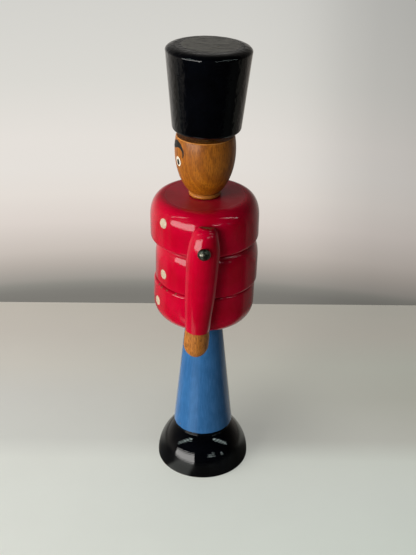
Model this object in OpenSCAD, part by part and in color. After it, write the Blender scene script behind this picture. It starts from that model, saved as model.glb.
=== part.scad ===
// Turned wooden soldier: painted pieces threaded on a peg, with two arms that swing on domed pins.
// Millimetres. It stands on z = 0, faces -Y, and its left arm is at +X.

/* [Foot] */
// Radius of the ball that the foot is turned from
foot_ball_r = 32.2; // [28:0.1:36]
// Height of the ball's centre above the ground
foot_ball_z = 1.5; // [1.3:0.1:4]
// Height of the straight seat for the trousers, above the cove
foot_seat_h = 2.7; // [2:0.1:5]
// Round on the lowest edge of the foot
foot_edge_r = 1.2; // [0.4:0.1:1.3]
// Hollow curve where the seat rises from the ball
foot_cove_r = 1.6; // [0.5:0.1:2]
// Thickness of wood left under the peg's hole
foot_floor = 8; // [5:0.5:14]

/* [Trousers] */
// Radius of the trousers at the foot
trousers_low_r = 20.6; // [18:0.1:23]
// Radius of the trousers at the coat
trousers_top_r = 11.6; // [9:0.1:16]
// Height of the trousers
trousers_h = 87.9; // [70:0.1:105]
// Round on the lower edge of the trousers
trousers_edge_r = 0.8; // [0.3:0.1:1.5]
// How far the trousers stand out past their seat on the foot
trousers_overhang = 0.4; // [0.1:0.1:1]

/* [Peg] */
// Radius of the upright peg
peg_r = 6; // [4.5:0.1:7.5]
// Bevel at the top of the peg
peg_bevel = 1.5; // [0.5:0.1:2.5]

/* [Coat rings] */
// Height of each coat ring
ring_h = 28.6; // [24:0.1:34]
// Radius of the upper ring
upper_ring_r = 34.9; // [30:0.1:37]
// How much less the middle ring's radius is
middle_ring_less = 1.5; // [0.8:0.1:3]
// How much less the lower ring's radius is
lower_ring_less = 1.6; // [0.8:0.1:3]
// Width of the lower ring's rounded hem
hem_w = 11; // [4:0.1:14]
// Height of the lower ring's rounded hem
hem_h = 12.8; // [4:0.1:16]
// Round on the lower ring's top edge
lower_top_r = 2; // [0.6:0.1:4]
// Round on the middle ring's lower edge
middle_low_r = 2; // [0.6:0.1:4]
// Width of the round on the middle ring's top edge
middle_top_w = 4.6; // [0.6:0.1:8]
// Height of the round on the middle ring's top edge
middle_top_h = 12; // [2:0.5:16]
// Round on the upper ring's lower edge
upper_low_r = 2.7; // [0.6:0.1:4]
// Width of the rounded shoulder
shoulder_w = 8.2; // [4:0.1:14]
// Height of the rounded shoulder
shoulder_h = 14; // [6:0.1:16]

/* [Head] */
// Radius of the head where it is widest
head_r = 19.1; // [16:0.1:22]
// Height from the bead to the widest place
cheek_rise = 27.4; // [22:0.1:32]
// Height from the widest place to the flat top
crown_rise = 9.6; // [6:0.1:14]
// How far the flat top draws in from the widest place
crown_in = 0.9; // [0.4:0.1:3]
// Thickness of wood round the peg at the neck
neck_wall = 3.5; // [2.6:0.1:5]
// Height of the bead at the neck
bead_h = 3.2; // [2.4:0.1:4]
// How far the bead stands out past the neck
bead_proud = 0.4; // [0.1:0.1:0.8]

/* [Hat] */
// Radius of the hat at its lower edge
hat_low_r = 21.5; // [19:0.1:24]
// Radius of the hat at its upper edge
hat_top_r = 26.1; // [22:0.1:29]
// Height of the hat
hat_h = 51.5; // [44:0.1:60]
// Round on the hat's lower edge
hat_low_edge_r = 2.6; // [1:0.1:4]
// Width of the round on the hat's upper edge
hat_top_edge_w = 4.8; // [1:0.1:7]
// Height of the round on the hat's upper edge
hat_top_edge_h = 2.7; // [1:0.1:6]
// Depth of the peg's hole in the hat
hat_bore_depth = 26; // [20:0.5:32]
// Gap between the head and the hat, which hangs on the peg's end
hat_gap = 3.2; // [1:0.1:5]

/* [Arms] */
// Radius of the arm at the shoulder
arm_r = 10.5; // [9:0.05:12]
// Radius of the arm's cut top end
arm_top_r = 5; // [4:0.1:7]
// Height of the arm's top end above its pin
arm_rise = 13.4; // [12:0.1:17]
// Distance below the pin where the sleeve starts to narrow
sleeve_wide_drop = 9; // [4:0.5:14]
// Radius of the arm at the wrist
wrist_r = 7.8; // [6:0.1:9]
// Distance from the pin down to the wrist
sleeve_drop = 59; // [50:0.5:66]
// How far the hand swells out past the wrist
hand_swell = 0.3; // [0.1:0.1:1.2]
// Length of the hand
hand_l = 20.4; // [15:0.1:24]
// Distance from the wrist to the hand's widest place
hand_wide_drop = 10.6; // [6:0.1:12]
// Round on the edge of the arm's top end
arm_top_edge_r = 0.8; // [0.3:0.1:1.5]

/* [Arm pins] */
// Radius of the pin's shank
pin_r = 1.8; // [1.2:0.1:2.4]
// Radius of the pin's domed head
pin_head_r = 4.1; // [3.2:0.1:5]
// Height of the pin's domed head
pin_head_h = 3.3; // [2.2:0.1:3.9]
// Depth of the pin in the upper ring
pin_depth = 16; // [10:0.5:20]
// Height of the pin above the underside of the upper ring
pin_rise = 9; // [8:0.1:12]

/* [Slack] */
// How far the lower ring has slipped toward the front
lower_slip = 0.4; // [0:0.05:0.6]
// How far the lower ring tips back, in degrees
lower_tip = 1.2; // [0:0.1:1.3]
// How far the middle ring has slipped toward the back
middle_slip = 1.2; // [0:0.05:1.3]
// How far the middle ring tips back, in degrees
middle_tip = 1.2; // [0:0.1:1.3]
// How far the hat has slipped toward the back
hat_slip = 0.65; // [0:0.05:0.7]
// How far the hat leans back, in degrees
hat_lean = 1.2; // [0:0.05:1.4]
// How far the arms swing forward, in degrees
arm_swing = 3.8; // [0:0.1:30]

/* [Clearances] */
// Gap between pieces that rest edge to edge
rest_gap = 0.05; // [0.02:0.01:0.1]
// Gap all round the peg in the head
head_play = 0.5; // [0.3:0.05:0.8]
// Gap between an arm and the upper ring
arm_gap = 0.35; // [0.3:0.05:0.6]
// Gap all round a pin in its arm
pin_play = 0.06; // [0.02:0.01:0.1]
// Gap between a pin's head and its arm
pin_head_gap = 0.2; // [0.2:0.05:0.5]

/* [Hidden] */
$fn = 96;
arc_steps = 10;   // straight steps in each drawn round
overrun = 1;      // how far cuts run past what they cut
foot_seat_r = trousers_low_r - trousers_overhang;
foot_cove_x = foot_seat_r + foot_cove_r;
foot_cove_z = foot_ball_z + sqrt(pow(foot_ball_r + foot_cove_r, 2) - pow(foot_cove_x, 2));
foot_h = foot_cove_z + foot_seat_h;
middle_ring_r = upper_ring_r - middle_ring_less;
lower_ring_r = upper_ring_r - lower_ring_less;
ring_bore_r = peg_r + rest_gap + max(middle_slip + ring_h * sin(middle_tip),
    lower_slip, ring_h * sin(lower_tip) - lower_slip);
hat_bore_r = peg_r + hat_slip + hat_bore_depth * sin(hat_lean) + rest_gap;
head_bore_r = peg_r + head_play;
neck_r = head_bore_r + neck_wall;
bead_r = neck_r + bead_proud;
crown_r = head_r - crown_in;
head_wide_z = bead_h + cheek_rise;
head_h = head_wide_z + crown_rise;
coat_z = foot_h + trousers_h;
lower_z = coat_z + (trousers_top_r + lower_slip) * sin(lower_tip) + rest_gap;
middle_z = lower_z + ring_h * cos(lower_tip) + rest_gap
    - (middle_slip + lower_slip - ring_h * sin(lower_tip)) * tan(lower_tip)
    + (middle_ring_r - middle_low_r) * abs(sin(middle_tip) - cos(middle_tip) * tan(lower_tip));
upper_z = middle_z + ring_h * cos(middle_tip)
    + (middle_ring_r - middle_top_w) * sin(middle_tip) + rest_gap;
head_z = upper_z + ring_h;
hat_z = head_z + head_h + hat_gap;
peg_top_z = hat_z + hat_bore_depth * cos(hat_lean) - peg_r * sin(hat_lean) - rest_gap;
pin_z = upper_z + pin_rise;
arm_x = upper_ring_r + arm_gap;
shoulder_egg_h = arm_rise / sqrt(1 - pow(arm_top_r / arm_r, 2));
sleeve_egg_h = (sleeve_drop - sleeve_wide_drop) / sqrt(1 - pow(wrist_r / arm_r, 2));
hand_r = wrist_r + hand_swell;
fist_h = hand_l - hand_wide_drop;

// Points along a round: centre, half width and half height, and the angles that it runs between
function round_pts(centre, size, from, to) = [for (i = [0 : arc_steps])
    let (a = from + (to - from) * i / arc_steps)
    [centre[0] + size[0] * cos(a), centre[1] + size[1] * sin(a)]];

// The foot is a ball cut flat below, with a straight seat above it for the trousers
module round_foot() {
    cove_turn = atan2(foot_cove_z - foot_ball_z, foot_cove_x);
    ball_turn = -asin((foot_ball_z - foot_edge_r) / (foot_ball_r - foot_edge_r));
    edge_x = (foot_ball_r - foot_edge_r) * cos(ball_turn);
    ball = [foot_ball_r, foot_ball_r];
    color("#15161a") difference() {
        rotate_extrude() polygon(concat(
            [[0, 0]],
            round_pts([edge_x, foot_edge_r], [foot_edge_r, foot_edge_r], -90, ball_turn),
            round_pts([0, foot_ball_z], ball, ball_turn, cove_turn / 2),
            round_pts([0, foot_ball_z], ball, cove_turn / 2, cove_turn),
            round_pts([foot_cove_x, foot_cove_z], [foot_cove_r, foot_cove_r], cove_turn + 180, 180),
            [[foot_seat_r, foot_h], [0, foot_h]]));
        translate([0, 0, foot_floor]) cylinder(r = peg_r, h = foot_h - foot_floor + overrun);
    }
}

// One straight peg from deep in the foot up into the hat
module centre_peg() {
    color("#c9a26b") {
        translate([0, 0, foot_floor]) cylinder(r = peg_r, h = peg_top_z - peg_bevel - foot_floor);
        translate([0, 0, peg_top_z - peg_bevel]) cylinder(r1 = peg_r, r2 = peg_r - peg_bevel, h = peg_bevel);
    }
}

module trousers() {
    color("#2f62a4") translate([0, 0, foot_h]) rotate_extrude() polygon(concat(
        [[peg_r, 0]],
        round_pts([trousers_low_r - trousers_edge_r, trousers_edge_r],
            [trousers_edge_r, trousers_edge_r], -90, 0),
        [[trousers_top_r, trousers_h], [peg_r, trousers_h]]));
}

// A ring with its own round below and above, each given as width and height
module coat_ring(r, low, high) {
    color("#c8102e") rotate_extrude() polygon(concat(
        [[ring_bore_r, 0]],
        round_pts([r - low[0], low[1]], low, -90, 0),
        round_pts([r - high[0], ring_h - high[1]], high, 0, 90),
        [[ring_bore_r, ring_h]]));
}

// The lower two rings are loose on the peg and tip back on it, each slipped its own way
module lower_coat_ring() {
    translate([0, -lower_slip, lower_z]) rotate([-lower_tip, 0, 0])
        coat_ring(lower_ring_r, [hem_w, hem_h], [lower_top_r, lower_top_r]);
}

module middle_coat_ring() {
    translate([0, middle_slip, middle_z]) rotate([-middle_tip, 0, 0])
        coat_ring(middle_ring_r, [middle_low_r, middle_low_r], [middle_top_w, middle_top_h]);
}

module upper_coat_ring() {
    difference() {
        translate([0, 0, upper_z])
            coat_ring(upper_ring_r, [upper_low_r, upper_low_r], [shoulder_w, shoulder_h]);
        for (side = [-1, 1]) translate([side * (upper_ring_r - pin_depth), 0, pin_z])
            rotate([0, side * 90, 0]) cylinder(r = pin_r, h = pin_depth + overrun);
    }
}

// Half of a turned arm, its flat side on the plane of the ring's side, its outline round the pin
module arm(side) {
    top_edge_z = arm_rise - arm_top_edge_r;
    top_turn = asin(top_edge_z / shoulder_egg_h);
    translate([side * arm_x, 0, pin_z]) rotate([-arm_swing, 0, 0]) difference() {
        rotate([0, 0, side * 90 - 180]) {
            color("#c8102e") half_turning(concat(
                [[0, -sleeve_drop]],
                round_pts([0, -sleeve_wide_drop], [arm_r, sleeve_egg_h], -acos(wrist_r / arm_r), 0),
                round_pts([0, 0], [arm_r, shoulder_egg_h], 0, top_turn),
                round_pts([arm_r * cos(top_turn) - arm_top_edge_r, top_edge_z],
                    [arm_top_edge_r, arm_top_edge_r], 0, 90),
                [[0, arm_rise]]));
            color("#c08a4a") half_turning(concat(
                [[0, -sleeve_drop]],
                round_pts([0, -sleeve_drop - hand_wide_drop], [hand_r, fist_h], -90, 0),
                [[wrist_r, -sleeve_drop]]));
        }
        translate([-side * overrun, 0, 0]) rotate([0, side * 90, 0])
            cylinder(r = pin_r + pin_play, h = arm_r + 2 * overrun);
    }
}

// An outline turned through half a circle, which lies on the +Y side
module half_turning(outline) {
    rotate_extrude(angle = 180) polygon(outline);
}

module left_arm() { arm(1); }
module right_arm() { arm(-1); }

// The pin's shank passes through the arm into the ring, and its dome holds the arm on
module arm_pin(side) {
    head_x = arm_x + arm_r + pin_head_gap;
    tail_x = upper_ring_r - pin_depth;
    dome_r = (pow(pin_head_r, 2) + pow(pin_head_h, 2)) / (2 * pin_head_h);
    color("#4b4d4e") translate([0, 0, pin_z]) rotate([0, side * 90, 0]) {
        translate([0, 0, tail_x]) cylinder(r = pin_r, h = head_x - tail_x);
        intersection() {
            translate([0, 0, head_x]) cylinder(r = pin_head_r, h = pin_head_h);
            translate([0, 0, head_x + pin_head_h - dome_r]) sphere(r = dome_r);
        }
    }
}

module left_arm_pin() { arm_pin(1); }
module right_arm_pin() { arm_pin(-1); }

// An egg cut flat at the top, on a small bead at the neck
module head() {
    egg_low_h = cheek_rise / sqrt(1 - pow(neck_r / head_r, 2));
    egg_high_h = crown_rise / sqrt(1 - pow(crown_r / head_r, 2));
    bead = [bead_h / 2, bead_h / 2];
    color("#a8682c") translate([0, 0, head_z]) rotate_extrude() polygon(concat(
        [[head_bore_r, 0]],
        round_pts([bead_r - bead_h / 2, bead_h / 2], bead, -90, 60),
        round_pts([0, head_wide_z], [head_r, egg_low_h], -acos(neck_r / head_r), 0),
        round_pts([0, head_wide_z], [head_r, egg_high_h], 0, acos(crown_r / head_r)),
        [[head_bore_r, head_h]]));
}

// The hat hangs on the peg's end, a little back and leaning
module hat() {
    color("#131416") translate([0, hat_slip, hat_z]) rotate([-hat_lean, 0, 0])
        rotate_extrude() polygon(concat(
            [[hat_bore_r, 0]],
            round_pts([hat_low_r - hat_low_edge_r, hat_low_edge_r],
                [hat_low_edge_r, hat_low_edge_r], -90, 0),
            round_pts([hat_top_r - hat_top_edge_w, hat_h - hat_top_edge_h],
                [hat_top_edge_w, hat_top_edge_h], 0, 90),
            [[0, hat_h], [0, hat_bore_depth], [hat_bore_r, hat_bore_depth]]));
}

round_foot();
centre_peg();
trousers();
lower_coat_ring();
middle_coat_ring();
upper_coat_ring();
left_arm();
right_arm();
left_arm_pin();
right_arm_pin();
head();
hat();
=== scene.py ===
import math
from functools import partial

import bpy
import bmesh
from mathutils import Matrix, Vector, noise


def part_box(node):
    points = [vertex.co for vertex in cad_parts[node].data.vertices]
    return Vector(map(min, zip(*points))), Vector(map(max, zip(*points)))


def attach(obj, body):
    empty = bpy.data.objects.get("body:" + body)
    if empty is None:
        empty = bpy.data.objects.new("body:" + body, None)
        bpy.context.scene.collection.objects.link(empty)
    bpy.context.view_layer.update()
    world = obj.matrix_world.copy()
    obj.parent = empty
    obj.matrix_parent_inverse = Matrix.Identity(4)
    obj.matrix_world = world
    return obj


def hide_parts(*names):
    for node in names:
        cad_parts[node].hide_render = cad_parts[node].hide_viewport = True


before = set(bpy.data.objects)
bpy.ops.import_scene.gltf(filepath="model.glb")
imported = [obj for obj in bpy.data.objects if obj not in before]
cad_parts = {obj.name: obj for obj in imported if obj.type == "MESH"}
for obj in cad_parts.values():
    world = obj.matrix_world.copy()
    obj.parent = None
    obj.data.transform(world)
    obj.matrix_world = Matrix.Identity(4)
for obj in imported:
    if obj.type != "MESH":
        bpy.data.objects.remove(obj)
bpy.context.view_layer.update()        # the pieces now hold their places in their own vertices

# Turned wooden soldier. Lengths in the dictionaries are millimetres; Blender works in metres.
mm = 0.001
perMm = 1 / mm                          # a noise of this scale has blobs about 1 mm across
wavePerMm = 2 * math.pi / 20 * perMm    # the wave texture turns through one period in 2 pi / (20 x scale)
eased = {"interpolation_type": "SMOOTHSTEP"}
print("frame loaded")


# colours and nodes

def linear(hexColour):
    channels = [int(hexColour[i:i + 2], 16) / 255 for i in (1, 3, 5)]
    return tuple(c / 12.92 if c <= 0.04045 else ((c + 0.055) / 1.055) ** 2.4 for c in channels) + (1.0,)


def addNode(tree, kind, values=(), out=0, **settings):
    # each value is a number or colour for a socket, or a link to it; the sockets go by place or by name
    node = tree.nodes.new("ShaderNode" + kind)
    for key, value in settings.items():
        setattr(node, key, value)
    for key, value in values.items() if isinstance(values, dict) else enumerate(values):
        if isinstance(value, bpy.types.NodeSocket):
            tree.links.new(value, node.inputs[key])
        else:
            node.inputs[key].default_value = value
    return node.outputs[out] if node.outputs else node


def newMaterial(name):
    material = bpy.data.materials.new(name)
    material.use_nodes = True
    material.node_tree.nodes.clear()
    return material, partial(addNode, material.node_tree)


# lacquered wood: brushed oil enamel over turned beech. It gives a wet, slightly rippled gloss,
# fine turning lines that show where the light grazes, and brown wood where an edge is knocked.
def lacquer(finish):
    material, add = newMaterial(finish["name"])
    place = add("TexCoord", out="Object")
    wornAndShaded = add("Attribute", out="Fac", attribute_name="wearAndShade")
    dullAndHighlight = add("Attribute", out="Fac", attribute_name="dullAndHighlight")

    # depth of colour: the film is thicker in some places than in others
    film = add("TexNoise", {
        "Vector": place, "Scale": perMm / finish["mottleMm"], "Detail": 3, "Roughness": 0.55})
    thick = add("MapRange", (film, 0.35, 0.68), **eased)
    colour = add("Mix", {
        0: thick, 6: linear(finish["paint"]), 7: linear(finish["deep"])}, 2, data_type="RGBA")
    hairs = add("Mapping", {"Vector": place, "Scale": (1, 1, finish["brushZ"])})
    hairs = add("TexNoise", {"Vector": hairs, "Scale": perMm, "Detail": 3, "Roughness": 0.6})
    hairs = add("MapRange", (hairs, 0.42, 0.66, 0, finish["hairs"]), **eased)
    dust = add("Mapping", {"Vector": place, "Scale": (1.3, 0.28, 1)})
    dust = add("TexNoise", {"Vector": dust, "Scale": perMm / 1.8, "Detail": 4, "Roughness": 0.6})
    dust = add("MapRange", (dust, finish["dustLow"], finish["dustLow"] + 0.3, 0, finish["dust"]), **eased)
    dust = add("Math", (dust, add("MapRange", (dullAndHighlight, 0.5, 1), **eased)), operation="MULTIPLY")

    # knocks at the edges show the wood, with a dark line of broken film round them
    grit = add("TexNoise", {
        "Vector": place, "Scale": perMm / finish["chipMm"], "Detail": 5, "Roughness": 0.62,
        "Distortion": 0.3})
    bite = add("Math", (wornAndShaded, grit), operation="ADD")
    broken = add("MapRange", (bite, 1.02, 1.08, 0, 0.55), **eased)
    bare = add("MapRange", (bite, 1.06, 1.1), **eased)
    fibre = add("Mapping", {"Vector": place, "Scale": (1, 1, 0.15)})
    fibre = add("TexNoise", {"Vector": fibre, "Scale": perMm / 0.7, "Detail": 4, "Roughness": 0.6})
    wood = add("Mix", {
        0: fibre, 6: linear(finish["wood"]), 7: linear(finish["woodDark"])}, 2, data_type="RGBA")
    for amount, layer in (
            (hairs, linear(finish["hairColour"])), (dust, linear(finish["dustColour"])),
            (broken, linear(finish["rim"])), (bare, wood)):
        colour = add("Mix", {0: amount, 6: colour, 7: layer}, 2, data_type="RGBA")

    # handling: soft smears in the gloss
    smear = add("Mapping", {"Vector": place, "Scale": (1, 1, 0.35)})
    smear = add("TexNoise", {
        "Vector": smear, "Scale": perMm / 7, "Detail": 4, "Roughness": 0.6, "Distortion": 0.6})
    gloss = add("MapRange", (smear, 0.35, 0.75, finish["rough"], finish["rough"] + finish["smear"]), **eased)
    gloss = add("Math", (dullAndHighlight, finish["dullRough"], gloss), operation="MULTIPLY_ADD")
    gloss = add("Math", (gloss, add("Math", (bare, 0.62), operation="MULTIPLY")), operation="MAXIMUM")

    # the film's height: sags, a fine peel, turning lines as bands on the sides and rings on the flats,
    # and the film's edge round the bare wood
    sag = add("Mapping", {"Vector": place, "Scale": (1, 1, 0.8)})
    sag = add("TexNoise", {"Vector": sag, "Scale": perMm / finish["rippleMm"], "Roughness": 0.45})
    normal = add("Bump", {"Height": sag, "Distance": finish["rippleDepth"] * mm})
    peel = add("TexNoise", {"Vector": place, "Scale": perMm / 1.3})
    normal = add("Bump", {"Height": peel, "Distance": finish["peelDepth"] * mm, "Normal": normal})
    bands, rings = [
        add("TexWave", {"Vector": place, "Scale": wavePerMm / pitch, "Distortion": warp, "Detail Scale": 1.5},
            "Fac", wave_type=kind, bands_direction="Z", rings_direction="Z")
        for kind, pitch, warp in (("BANDS", 0.9, 1.2), ("RINGS", 1.7, 1.0))]
    turning = add("Mix", {0: dullAndHighlight, 6: bands, 7: rings}, 2, data_type="RGBA")
    normal = add("Bump", {"Height": turning, "Distance": finish["turnDepth"] * mm, "Normal": normal})
    edge = add("Math", (1, bare), operation="SUBTRACT")
    normal = add("Bump", {"Height": edge, "Distance": 0.14 * mm, "Normal": normal})
    add("OutputMaterial", (add("BsdfPrincipled", {
        "Base Color": colour, "Roughness": gloss, "Normal": normal, "IOR": finish["ior"]}),))
    return material


redFinish = {
    "name": "redLacquerBrushedOnBeech", "paint": "#aa0126", "deep": "#9b011c", "mottleMm": 16,
    "dust": 0.10, "dustColour": "#a08880", "dustLow": 0.45, "chipMm": 1.3, "rim": "#3a0408", "wood": "#8d5a33",
    "woodDark": "#4a2914", "rough": 0.07, "smear": 0.07, "dullRough": 0.27, "rippleMm": 6.5,
    "rippleDepth": 0.07, "peelDepth": 0.006, "turnDepth": 0.004, "ior": 1.5,
    "brushZ": 2.5, "hairs": 0.25, "hairColour": "#98011a"}
blueFinish = {
    "name": "blueLacquerSatinOnBeech", "paint": "#2b5a89", "deep": "#255280", "mottleMm": 14,
    "dust": 0.05, "dustColour": "#8d9097", "dustLow": 0.45, "chipMm": 1.2, "rim": "#142c4a", "wood": "#94653c",
    "woodDark": "#563218", "rough": 0.17, "smear": 0.06, "dullRough": 0.2, "rippleMm": 7.5,
    "rippleDepth": 0.05, "peelDepth": 0.006, "turnDepth": 0.006, "ior": 1.48,
    "brushZ": 0.07, "hairs": 0.32, "hairColour": "#3d6b9d"}
blackFinish = {
    "name": "blackLacquerBrushedOnBeech", "paint": "#030407", "deep": "#020203", "mottleMm": 20,
    "dust": 0.62, "dustColour": "#8a887f", "dustLow": 0.3, "chipMm": 1.2, "rim": "#020202", "wood": "#7a5233",
    "woodDark": "#3b2414", "rough": 0.022, "smear": 0.035, "dullRough": 0.3, "rippleMm": 5.5,
    "rippleDepth": 0.075, "peelDepth": 0.012, "turnDepth": 0.012, "ior": 1.58,
    "brushZ": 0.2, "hairs": 0.3, "hairColour": "#06070b"}
# the hat has thicker coats, and their sags and ripples break its reflections up
hatFinish = {
    **blackFinish, "name": "blackLacquerThickOnHat", "rippleMm": 3.2, "rippleDepth": 0.27, "peelDepth": 0.035}


# beech, turned and sanded: pinkish brown with short dark flecks along the grain. Under varnish it
# is orange and shines softly; bare it is pale and dry.
def beech(finish):
    material, add = newMaterial(finish["name"])
    place = add("TexCoord", out="Object")
    wornAndShaded = add("Attribute", out="Fac", attribute_name="wearAndShade")
    dullAndHighlight = add("Attribute", out="Fac", attribute_name="dullAndHighlight")
    along = add("Mapping", {"Vector": place, "Location": (0.061, 0.027, 0), "Scale": (1, 1, 0.06)})
    rings = add("TexWave", {
        "Vector": along, "Scale": wavePerMm / finish["ringMm"], "Distortion": 2.6, "Detail Scale": 1.5},
        "Fac", wave_type="RINGS", rings_direction="Z")
    rings = add("MapRange", (rings, 0.1, 0.9), **eased)
    colour = add("Mix", {0: rings, 6: linear(finish["light"]), 7: linear(finish["mid"])}, 2, data_type="RGBA")

    # streaks and flecks follow the grain; the grime colour sits in worn places and paints shade where it is
    # marked, and the pale colour paints highlights on edges marked dull
    flow = add("Mapping", {"Vector": place, "Scale": (1, 1, 0.17)})
    streak = add("TexNoise", {"Vector": flow, "Scale": perMm / 0.95, "Detail": 4, "Roughness": 0.62})
    patch = add("TexNoise", {"Vector": place, "Scale": perMm / 11})
    fleck = add("TexNoise", {
        "Vector": flow, "Scale": perMm / 0.55, "Detail": 3, "Roughness": 0.7, "Distortion": 0.4})
    grimeAndShade = add("TexNoise", {"Vector": place, "Scale": perMm / 1.8, "Detail": 4, "Roughness": 0.65})
    # grime in worn places, and painted shade where the head's outline marks it: under the bead and on the top
    # under the hat
    grimeAndShade = add("Math", (wornAndShaded, add("MapRange", (grimeAndShade, 0.35, 0.7), **eased)), operation="MULTIPLY")
    for amount, tone in (
            (add("MapRange", (streak, 0.45, 0.64, 0, finish["streak"]), **eased), "dark"),
            (add("MapRange", (patch, 0.4, 0.7, 0, 0.4), **eased), "mid"),
            (add("MapRange", (fleck, 0.54, 0.63, 0, finish["fleck"]), **eased), "fleckColour"),
            (grimeAndShade, "grimeAndShade"),
            (add("MapRange", (dullAndHighlight, 0.5, 1), **eased), "paleHighlight")):
        colour = add("Mix", {0: amount, 6: colour, 7: linear(finish[tone])}, 2, data_type="RGBA")

    gloss = add("MapRange", (streak, 0.3, 0.75, finish["rough"], finish["rough"] + 0.12), **eased)
    normal = add("Bump", {"Height": fleck, "Distance": finish["poreDepth"] * mm})
    normal = add("Bump", {"Height": streak, "Distance": finish["grainDepth"] * mm, "Normal": normal})
    dents = add("TexNoise", {"Vector": place, "Scale": perMm / 8})
    normal = add("Bump", {"Height": dents, "Distance": 0.05 * mm, "Normal": normal})
    add("OutputMaterial", (add("BsdfPrincipled", {
        "Base Color": colour, "Roughness": gloss, "Normal": normal, "IOR": 1.47, "Specular IOR Level": 0.25,
        "Coat Weight": finish["coat"], "Coat Roughness": 0.2}),))
    return material


headFinish = {
    "name": "varnishedBeechTurned", "light": "#98590f", "mid": "#894c08", "dark": "#603002", "ringMm": 3.4,
    "streak": 0.66, "fleck": 0.48, "fleckColour": "#4c2906", "grimeAndShade": "#2a1204", "paleHighlight": "#b87836",
    "rough": 0.42, "poreDepth": 0.05, "grainDepth": 0.05, "coat": 0.25}
handFinish = {
    "name": "varnishedBeechHand", "light": "#ae6e2e", "mid": "#9f6020", "dark": "#76430e", "ringMm": 2.8,
    "streak": 0.7, "fleck": 0.7, "fleckColour": "#56300f", "grimeAndShade": "#4b2a12", "paleHighlight": "#c08a4c",
    "rough": 0.42, "poreDepth": 0.05, "grainDepth": 0.04, "coat": 0.06}
dowelFinish = {
    "name": "bareBeechDowel", "light": "#d9b98c", "mid": "#cba676", "dark": "#a9814f", "ringMm": 2.5,
    "streak": 0.6, "fleck": 0.55, "fleckColour": "#8a6236", "grimeAndShade": "#8b6f4c", "paleHighlight": "#d9b98c",
    "rough": 0.62, "poreDepth": 0.06, "grainDepth": 0.05, "coat": 0.0}


# a domed steel pin, tumbled and oiled black: a dark mirror with worn bright spots on the dome
def pinSteel():
    material, add = newMaterial("tumbledSteelPin")
    place = add("TexCoord", out="Object")
    tarnish = add("TexNoise", {"Vector": place, "Scale": perMm / 0.9, "Detail": 4, "Roughness": 0.6})
    dark = add("MapRange", (tarnish, 0.4, 0.62), **eased)
    colour = add("Mix", {0: dark, 6: linear("#9b9a8c"), 7: linear("#3b3830")}, 2, data_type="RGBA")
    gloss = add("MapRange", (tarnish, 0.3, 0.75, 0.26, 0.5), **eased)
    dents = add("TexNoise", {"Vector": place, "Scale": perMm / 0.5, "Detail": 3, "Roughness": 0.6})
    normal = add("Bump", {"Height": dents, "Distance": 0.012 * mm})
    add("OutputMaterial", (add("BsdfPrincipled", {
        "Base Color": colour, "Roughness": gloss, "Normal": normal, "Metallic": 1}),))
    return material


# thick enamel dabbed on with a brush: the film is uneven and its gloss is softer than the coat's
def dabbedPaint(name, hexColour, hexThin, rough):
    material, add = newMaterial(name)
    place = add("TexCoord", out="Object")
    film = add("TexNoise", {"Vector": place, "Scale": perMm / 1.5, "Detail": 3, "Roughness": 0.6})
    thin = add("MapRange", (film, 0.42, 0.72, 0, 0.7), **eased)
    colour = add("Mix", {0: thin, 6: linear(hexColour), 7: linear(hexThin)}, 2, data_type="RGBA")
    gloss = add("MapRange", (film, 0.3, 0.7, rough, rough + 0.12), **eased)
    strokes = add("TexNoise", {"Vector": place, "Scale": perMm / 0.8})
    normal = add("Bump", {"Height": strokes, "Distance": 0.04 * mm})
    surface = add("BsdfPrincipled", {"Base Color": colour, "Roughness": gloss, "Normal": normal})
    add("OutputMaterial", (surface,))
    return material


redLacquer, blueLacquer = lacquer(redFinish), lacquer(blueFinish)
blackLacquer, hatLacquer = lacquer(blackFinish), lacquer(hatFinish)
varnishedBeech, handBeech, dowelBeech = beech(headFinish), beech(handFinish), beech(dowelFinish)
steel = pinSteel()
creamPaint = dabbedPaint("creamEnamelDabbed", "#ac9d86", "#9b8c72", 0.28)
whitePaint = dabbedPaint("whiteEnamelDabbed", "#cac4b6", "#b6ac99", 0.3)
inkPaint = dabbedPaint("blackEnamelDabbed", "#070606", "#130f0c", 0.45)
lipPaint = dabbedPaint("redEnamelDabbed", "#850e17", "#6f0a12", 0.3)
print("materials made")


# turned shapes. An outline is a list of (radius, height, wear and shade, dull and highlight) in mm, from the
# inside of the underside outwards and up, and round again. The third value marks real wear and, on the head,
# painted shade; the fourth marks dull places and, on the head, painted highlights.

def arc(centre, size, start, end, steps, wearAndShade=0.0, dullAndHighlight=0.0, full=2.0):
    # an elliptic round; above 2, full makes its corner squarer
    points = []
    for i in range(steps + 1):
        a = math.radians(start + (end - start) * i / steps)
        c, s = (math.copysign(abs(v) ** (2 / full), v) for v in (math.cos(a), math.sin(a)))
        points.append((centre[0] + size[0] * c, centre[1] + size[1] * s, wearAndShade, dullAndHighlight))
    return points


def fine(outline, step, closed=True):
    # long straight stretches are cut up, so that the surface can carry small unevenness
    out = []
    pairs = list(zip(outline, outline[1:] + outline[:1] if closed else outline[1:]))
    for a, b in pairs:
        length = math.hypot(b[0] - a[0], b[1] - a[1])
        if length < 1e-6:
            continue
        parts = 1 if a[0] < 1e-6 and b[0] < 1e-6 else max(1, math.ceil(length / step))
        for i in range(parts):
            t = i / parts
            out.append(tuple(a[k] + (b[k] - a[k]) * t for k in range(4)))
    if not closed:
        out.append(outline[-1])
    return out


def knocks(point, spots, wearAndShade):
    for x, y, z, radius, strength in spots:
        d = math.dist(point, (x, y, z)) / radius
        if d < 1:
            wearAndShade = max(wearAndShade, strength * (1 - d * d))
    return wearAndShade


def uneven(point, size):
    # turned and sanded by hand: the surface lies up to size mm inside the true one, in broad and small waves
    broad, small = noise.noise(Vector(point) * 0.045), noise.noise(Vector(point) * 0.16)
    return -size * (0.5 + 0.4 * broad + 0.12 * small)


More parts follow.
